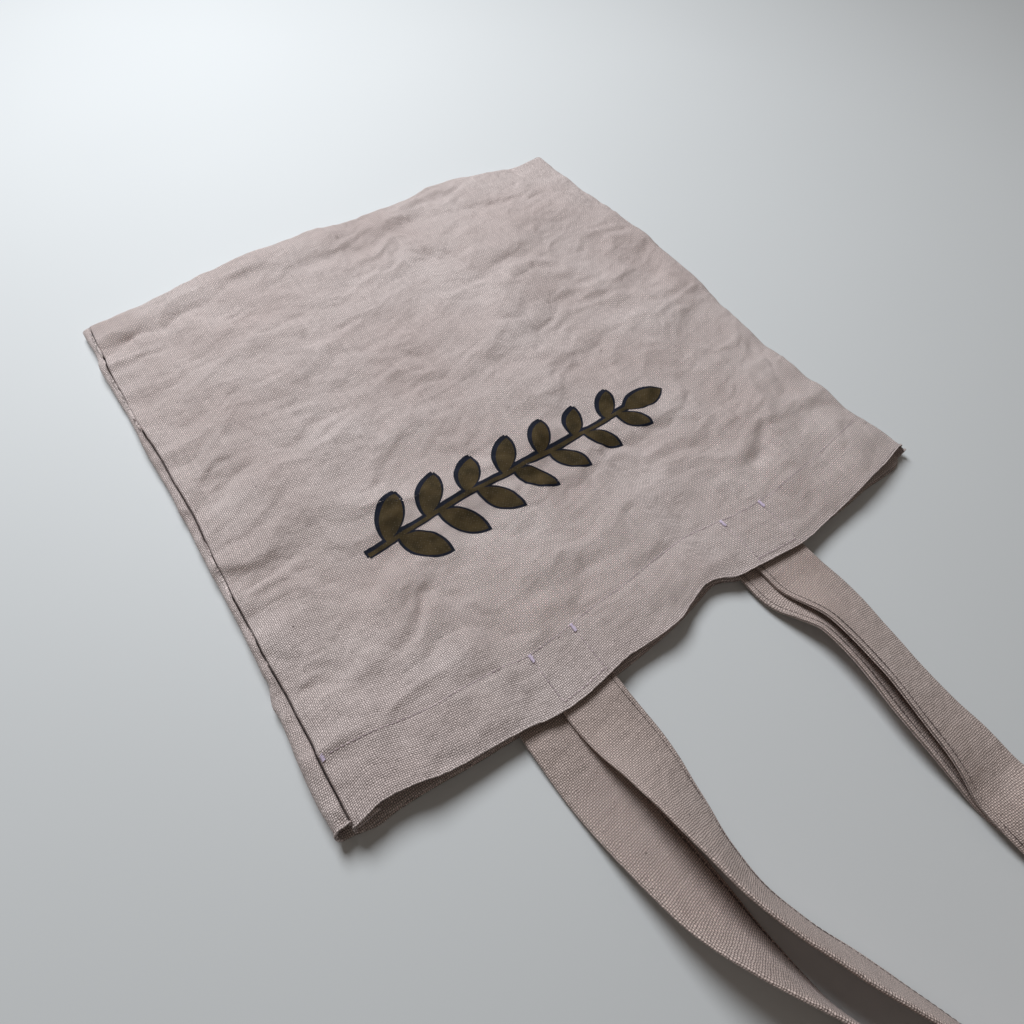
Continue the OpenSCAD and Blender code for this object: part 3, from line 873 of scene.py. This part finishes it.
front_handle, front_length = strap_mesh("front_handle", FRONT_ROUTE, 50)
back_handle, back_length = strap_mesh("back_handle", BACK_ROUTE, 60)


# ---- stitches

UP = np.array([0, 0, 1.0])
STITCH_L = 2.05
STITCH_GAP = 0.4
THREAD_R = 0.23
SIDES, RINGS = 6, 5  # of one stitch
SUNK = 0.1  # height of a row's path above the cloth, in thread radii


def stitch_row(starts, ends, ups, radius=THREAD_R, rise=0.1):
    """Points and faces of a stitch from each start to its end, thickest and highest in its middle."""
    points, faces = [], []
    for start, end, up in zip(starts, ends, ups):
        direction = (end - start) / max(np.linalg.norm(end - start), 1e-9)
        side = np.cross(direction, up)
        base = len(points)
        for t in np.linspace(0, 1, RINGS):
            swell = radius * math.sin(math.pi * (0.18 + 0.64 * t)) ** 0.6
            middle = start + (end - start) * t + up * rise * (1 - 2 * (2 * t - 1) ** 2)
            for angle in np.arange(SIDES) * 2 * math.pi / SIDES:
                points.append(middle + swell * (side * math.cos(angle) + up * math.sin(angle)))
        for r in range(RINGS - 1):
            for k in range(SIDES):
                a, b = base + r * SIDES + k, base + r * SIDES + (k + 1) % SIDES
                faces.append([a, b, b + SIDES, a + SIDES])
        faces.append([base + k for k in range(SIDES)][::-1])
        faces.append([base + (RINGS - 1) * SIDES + k for k in range(SIDES)])
    return points, faces


def along_path(path, ups):
    """Stitches one after another along a path of points."""
    ups = np.broadcast_to(ups, path.shape)
    at = distances(path)
    begin = np.arange(STITCH_GAP / 2, at[-1] - STITCH_L, STITCH_L + STITCH_GAP)
    start, end = (points_at(where, at, path) for where in (begin, begin + STITCH_L))
    return stitch_row(start, end, points_at(begin, at, ups))


def joined(parts):
    """One set of points and faces from several."""
    points, faces = [], []
    for more, more_faces in parts:
        faces += [[v + len(points) for v in face] for face in more_faces]
        points += list(more)
    return points, faces


def stitch_mesh(name, parts):
    """A mesh of stitches whose u runs from 0 to 1 along each stitch."""
    points, faces = joined(parts)
    share = np.tile(np.repeat(np.linspace(0, 1, RINGS), SIDES), len(points) // (RINGS * SIDES))
    return make_mesh(name, points, faces, np.stack([share, 0 * share], axis=1) / MM)


def thread_piece(name, parts, look=TONAL, body=None, node=None):
    return finish_piece(stitch_mesh(f"{name}_thread", parts), look, [node or name], body)


def row_on_front(x, y):
    """Stitches along a path on the front panel's mesh."""
    return along_path(on_front(x, y, SUNK * THREAD_R), UP)


def row_inside(name, x, y, z, up):
    """One row of stitches inside the bag, on the given side of its cloth."""
    return thread_piece(name, [along_path(np.stack([x, y, z], axis=1), up)], body="root")


def strap_stitches(name, stations):
    """Topstitching on both faces of a strap."""
    centre, across, proud, at = strap_frames(stations, ROW_STEP)
    clear = (at > 4) & (at < at[-1] - 4)
    parts = []
    for face in (1, -1):
        lift = face * (STRAP_T / 2 - GROOVE + 0.18)
        path = centre + across * STITCH_ACROSS + proud * lift
        parts.append(along_path(path[clear], face * proud[clear]))
    return thread_piece(name, parts, TOPSTITCH_WITH_GROOVE_SHADE)


for strap, side, route, sewn_to in ((front_handle, "front", FRONT_ROUTE, "front_side"),
                                    (back_handle, "back", BACK_ROUTE, "root")):
    ends = [f"{side}_handle_{end}_end" for end in ("left", "right")]
    finish_piece(strap, STRAP, [f"{side}_handle", *ends])
    for piece in (strap, strap_stitches(f"{side}_handle_stitching", route)):
        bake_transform(piece)

HEM_ROW_X = 165  # where the hem rows end, on each side
hem_halves = []
for side, start, end in (("left", -HEM_ROW_X, -0.5), ("right", 0.5, HEM_ROW_X)):
    x = np.linspace(start, end, 320)
    row = row_on_front(x, hem_row_y(x))
    hem_halves.append(thread_piece(f"front_hem_stitching_{side}", [row], node="front_hem_stitching"))
blend_halves(hem_halves)

x = np.linspace(-HEM_ROW_X, HEM_ROW_X, 640)
y = back_mouth(x) + HEM_DEPTH - 1.5
row_inside("back_hem_stitching", x, y, back_z(x, y) + 2 * NOSE_R + 0.1, UP)

BOX_W = 25
BOX_LOW, BOX_HIGH = 3.5, 28.5  # from the mouth edge
STRAP_TOP = REST_GAP + BACK_LIFT + STRAP_T + 0.1


def box_paths(middle, mouth):
    """(x, y) paths of two columns and the row between them at the mouth edge."""
    edge = mouth(middle)
    left, right = middle - BOX_W / 2, middle + BOX_W / 2
    y = np.linspace(edge + BOX_LOW, edge + BOX_HIGH, 40)
    x = np.linspace(left, right, 40)
    return [(0 * y + left, y), (0 * y + right, y), (x, mouth(x) + BOX_LOW)]


for side, front_x, back_x in zip(("left", "right"), FRONT_ENDS_X, BACK_ENDS_X):
    rows = [row_on_front(x, y) for x, y in box_paths(front_x, front_mouth)]
    thread_piece(f"front_box_stitching_{side}", rows, body="front_side")
    rows = [along_path(np.stack([x, y, 0 * x + STRAP_TOP], axis=1), UP)
            for x, y in box_paths(back_x, back_mouth)]
    thread_piece(f"back_box_stitching_{side}", rows, body="root")


TACK_W = 1.8
TACK_R = 0.28  # radius of a backtack's thread


def backtack(x, y, length, count, seed):
    """A bar of short stitches that cross over one another."""
    rng = np.random.default_rng(seed)
    starts, ends = [], []
    for t in np.linspace(0, 1, count):
        sway = rng.normal(0, 0.12, 4)
        starts.append((x - TACK_W / 2 + sway[0], y + length * t + sway[1]))
        ends.append((x + TACK_W / 2 + sway[2], y + length * t + 0.5 + sway[3]))
    start, end = (on_front(*np.array(points).T, 1.6 * THREAD_R) for points in (starts, ends))
    return stitch_row(start, end, [UP] * count, TACK_R)


def frayed_ends(place, spread, count, seed):
    """Short loose fibres that stick out of a raw edge towards the mouth."""
    rng = np.random.default_rng(seed)
    parts = []
    for _ in range(count):
        start = np.array(place) + rng.uniform(-1, 1, 3) * spread
        drift = np.array([rng.normal(0, 0.7), -rng.uniform(0.8, 2.4), rng.normal(-0.3, 0.6)])
        parts.append(stitch_row([start], [start + drift], [UP], 0.10, 0.25))
    return parts


tacks = []
for x in (middle + side * BOX_W / 2 for middle in FRONT_ENDS_X for side in (-1, 1)):
    tacks.append(backtack(x, hem_row_y(x) - 4.0, 3.8, 8, int(x) + 500))
thread_piece("front_backtacks", tacks, LILAC, "front_side")
tack_y = MOUTH_CORNER_Y + 29
tack = backtack(left_seam_x(tack_y) + 2, tack_y, 2.4, 5, 71)
thread_piece("seam_backtack", [tack], LILAC, "root")

mouth_end = (left_seam_x(MOUTH_CORNER_Y) + 0.4, MOUTH_CORNER_Y + 1.6, 8.2)
fray = stitch_mesh("left_side_seam_fray", frayed_ends(mouth_end, (0.9, 0.5, 1.1), 26, 72))
finish_piece(fray, FRAY, ["left_side_seam"], "root")

SEAM_ROW_IN = 3  # from the seam to its row of stitches
UNDER_LEFT, UNDER_RIGHT = 1.75, 1.7  # how far the rows lie under the allowances' tops
y = np.linspace(MOUTH_CORNER_Y + 3, SIDE_END_Y - 3, 300)
x = left_seam_x(y) + LEFT_INSET + SEAM_ROW_IN
row_inside("left_seam_stitching", x, y, below_front(x, y) - UNDER_LEFT, -UP)
x = right_edge(y) + RIGHT_INSET - SEAM_ROW_IN
row_inside("right_seam_stitching", x, y, middle_height(x, y) - UNDER_RIGHT, -UP)
x = np.linspace(-160, 160, 300)
y = bottom_edge(x) + RIGHT_INSET - SEAM_ROW_IN
row_inside("bottom_seam_stitching", x, y, middle_height(x, y) - UNDER_RIGHT, -UP)


# ---- printed sprig

PRINT_LOW, PRINT_HIGH = box_mm("print_fill")
PRINT_L = PRINT_HIGH[0] - PRINT_LOW[0]
PRINT_Y = (PRINT_LOW[1] + PRINT_HIGH[1]) / 2
LEAF_PAIRS = 7
LEAF_L, LEAF_W = 28, 12
LEAF_TURN, LEAF_SHRINK, LEAF_STAGGER = 52, 0.05, 6
STEM_W = 2.4
INK_STEP = 0.8


def patch(origin, turn, length, half_width, columns):
    """Flat grid of ink along a straight axis; half_width(along) is the shape's reach to each side."""
    along = np.linspace(0, length, int(length / INK_STEP) + 1)[:, None]
    side = np.linspace(-1, 1, columns) * np.maximum(half_width(along), 0.02)
    c, s = math.cos(turn), math.sin(turn)
    return np.stack([origin[0] + along * c - side * s, origin[1] + along * s + side * c], axis=2)


def leaf_patch(origin, turn, length, width):
    """A leaf between two arcs."""
    r = (length ** 2 + width ** 2) / (4 * width)

    def half_width(along):
        return np.sqrt(np.maximum(r ** 2 - (along - length / 2) ** 2, 0)) - (r - width / 2)

    return patch(origin, turn, length, half_width, int(width / INK_STEP) + 2)


def stem_patch(start, length, width):
    return patch(start, 0, length, lambda along: width / 2 + 0 * along, 5)


def sprig(grow, shift=(0, 0)):
    """Ink patches of the stem and its leaves, grown all round by a margin."""
    stem_l = PRINT_L - LEAF_L
    x0, y0 = PRINT_LOW[0] + shift[0], PRINT_Y + shift[1]
    patches = [stem_patch((x0, y0), stem_l + 3 * STEM_W, STEM_W + 2 * grow)]
    for i in range(LEAF_PAIRS):
        length, width = ((1 - LEAF_SHRINK * i) * full + 2 * grow for full in (LEAF_L, LEAF_W))
        for side in (-1, 1):
            x = x0 + stem_l * (i + 0.6) / LEAF_PAIRS - side * LEAF_STAGGER / 2
            place = (x, y0 + side * STEM_W / 4)
            patches.append(leaf_patch(place, side * math.radians(LEAF_TURN), length, width))
    patches.append(leaf_patch((x0 + stem_l, y0), 0, LEAF_L + grow, LEAF_W + 2 * grow))
    return patches


def ink(name, patches, lift, look):
    """Thin ink on the cloth; each patch lies a hair higher than the one before."""
    points, faces, uv = [], [], []
    for number, xy in enumerate(patches):
        rows, columns = xy.shape[:2]
        flat = xy.reshape(-1, 2)
        faces.append(grid_faces(rows, columns, offset=len(points)))
        points += on_front(flat[:, 0], flat[:, 1], lift + 0.002 * number).tolist()
        uv += (flat - PRINT_LOW[:2]).tolist()
    piece = make_mesh(f"{name}_ink", points, np.concatenate(faces), uv)
    return finish_piece(piece, look, [name], "front_side")


OUTLINE, SHADOW = 1.0, (-1.2, 1.2)
ink("print_outline", sprig(OUTLINE) + sprig(OUTLINE, SHADOW), 0.06, NAVY)
ink("print_fill", sprig(0), 0.14, OLIVE)


# ---- camera, light and table

def set_camera():
    """A hand-held view from the left of the mouth, looking down at the bag."""
    eye = Vector((-0.151, -0.237, 0.310))
    target = Vector((-0.032, -0.084, 0.007))
    roll = math.radians(-2.91)
    forward = (target - eye).normalized()
    right = forward.cross(Vector((0, 0, 1))).normalized()
    down = forward.cross(right)
    image_right = right * math.cos(roll) + down * math.sin(roll)
    image_down = -right * math.sin(roll) + down * math.cos(roll)
    rotation = Matrix((image_right, -image_down, -forward)).transposed()
    data = bpy.data.cameras.new("camera")
    data.sensor_width = 36
    data.lens = 24.46
    data.clip_start = 0.01
    camera = add_object("camera", data)
    camera.matrix_world = Matrix.Translation(eye) @ rotation.to_4x4()
    bpy.context.scene.camera = camera


def area_light(name, place, size, power, color):
    """A round light that is aimed at the origin."""
    data = bpy.data.lights.new(name, "AREA")
    data.shape = "DISK"
    data.size = size
    data.energy = power
    data.color = color
    light = add_object(name, data)
    light.location = place
    light.rotation_euler = (-Vector(place)).to_track_quat("-Z", "Y").to_euler()


def soft_light(color, strength):
    """Even light from all round the room."""
    world = bpy.data.worlds.new("soft_room")
    world.use_nodes = True
    background = world.node_tree.nodes["Background"]
    background.inputs["Color"].default_value = (*color, 1)
    background.inputs["Strength"].default_value = strength
    bpy.context.scene.world = world


def table_top():
    """A plain pale table."""
    graph = Graph("table")
    cloudy = graph.noise(graph.node("NewGeometry", {})["Position"], 3, 2)
    material = graph.shade({
        "Base Color": graph.ramp(cloudy, (0.3, (0.70, 0.715, 0.72)), (0.7, (0.72, 0.735, 0.74))),
        "Roughness": 0.55,
        "Specular IOR Level": 0.3})
    half = 6000
    corners = [(-half, -half, 0), (half, -half, 0), (half, half, 0), (-half, half, 0)]
    table = make_mesh("table", corners, [(0, 1, 2, 3)])
    table.data.materials.append(material)


set_camera()
table_top()
area_light("window", (0.01, 0.65, 0.90), 0.6, 12.4, (0.92, 0.96, 1.0))
soft_light((1.0, 0.90, 0.80), 0.13)
bpy.context.scene.view_settings.view_transform = "Standard"
